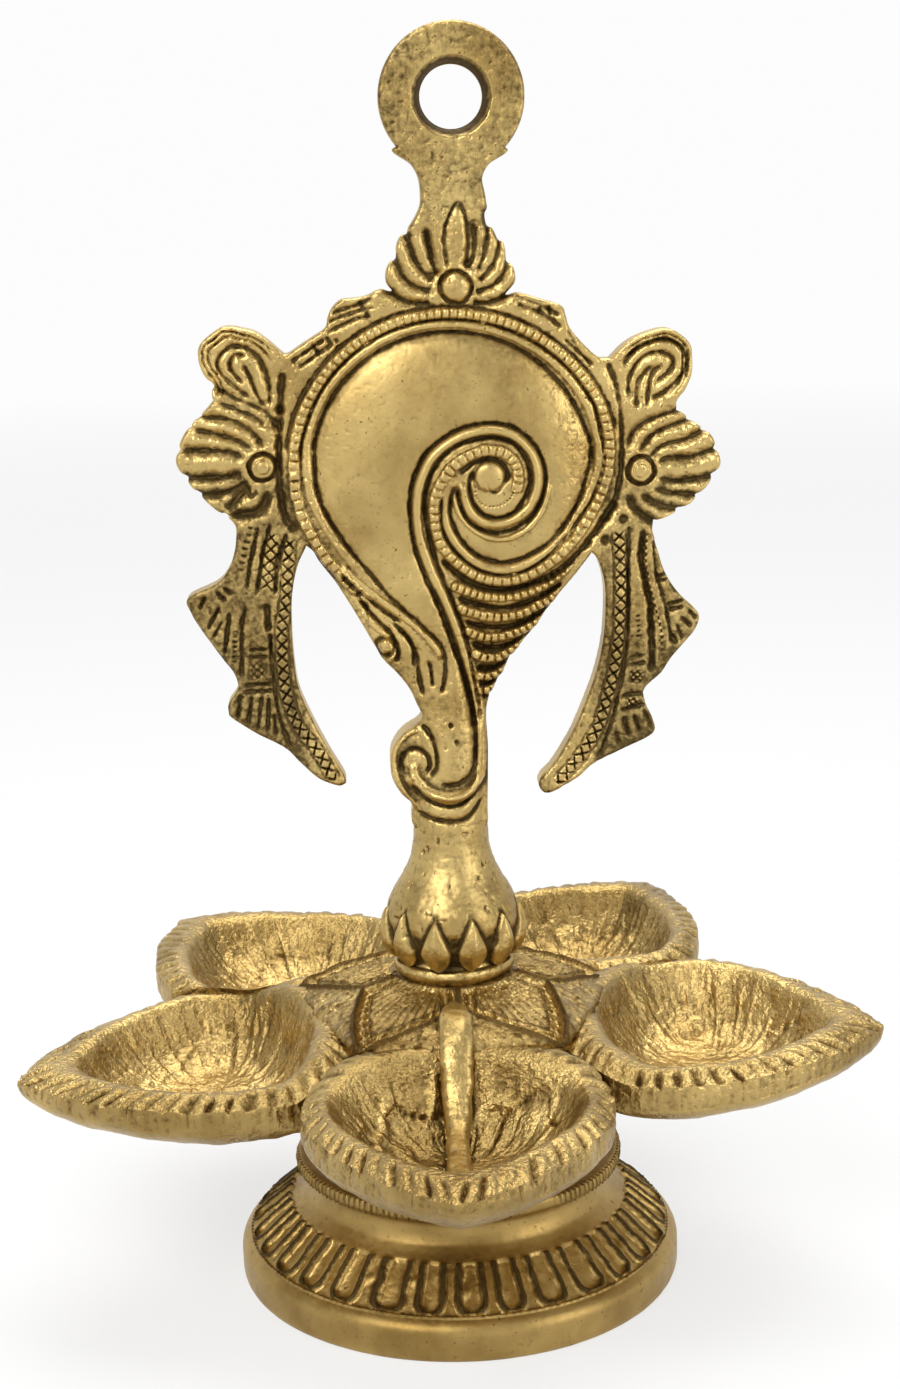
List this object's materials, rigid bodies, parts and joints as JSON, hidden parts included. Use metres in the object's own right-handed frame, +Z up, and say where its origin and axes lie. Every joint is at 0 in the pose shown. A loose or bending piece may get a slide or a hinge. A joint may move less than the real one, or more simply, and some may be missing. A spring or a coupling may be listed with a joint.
{
  "type": "conch oil lamp",
  "caption": "Cast brass oil lamp: a conch shell plate with hanging ring on a bulb, above a star of pointed leaf cups on a round hollow foot.",
  "frame": {"origin": "middle of the foot's underside, on the axis of the foot, hub and stud", "axes": "+Z up along the stud, -Y towards the front cup and the face of the conch, X across the plate, whose flat faces look along Y"},
  "size_m": [0.1725, 0.1592, 0.2497],
  "materials": {
    "cast_brass": "aged cast brass, filed and hand rubbed, dark in the hollows",
    "cup_brass": "rough sand-cast brass, bright golden inside the wells",
    "turned_brass": "turned brass, dulled",
    "spring_steel": "plain spring steel, dulled"
  },
  "bodies": {
    "root": {"foot": "cast_brass", "tray_hub": "cast_brass", "front_cup": "cup_brass", "right_cup": "cup_brass", "back_right_cup": "cup_brass", "back_left_cup": "cup_brass", "left_cup": "cup_brass", "cup_strap": "cast_brass", "conch_finial": "cast_brass", "tie_stud": "turned_brass", "washer": "turned_brass", "lock_washer": "spring_steel", "hex_nut": "turned_brass"}
  },
  "joints": []
}
